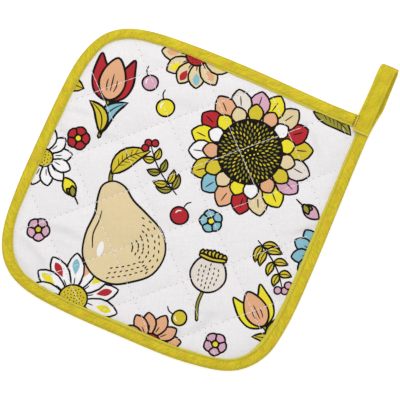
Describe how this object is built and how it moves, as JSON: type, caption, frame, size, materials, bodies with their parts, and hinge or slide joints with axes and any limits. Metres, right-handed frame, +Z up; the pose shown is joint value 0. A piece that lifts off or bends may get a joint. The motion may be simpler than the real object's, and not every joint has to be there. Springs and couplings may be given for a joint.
{
  "type": "pot holder",
  "caption": "Square quilted pot holder with rounded corners, a bound edge and a folded hanging loop at its one sharp corner, lying flat.",
  "frame": {"origin": "on the underside at the middle of the pad, in the plane it rests on", "axes": "+X along the edge that ends at the loop, +Y the way the loop points, +Z up from the resting face"},
  "size_m": [0.2221, 0.257, 0.0084],
  "materials": {
    "quilted_cotton": "matte",
    "binding_tape": "matte",
    "loop_tape": "matte"
  },
  "bodies": {
    "root": {"quilted_pad": "quilted_cotton", "edge_binding": "binding_tape", "hanging_loop": "loop_tape"}
  },
  "joints": []
}
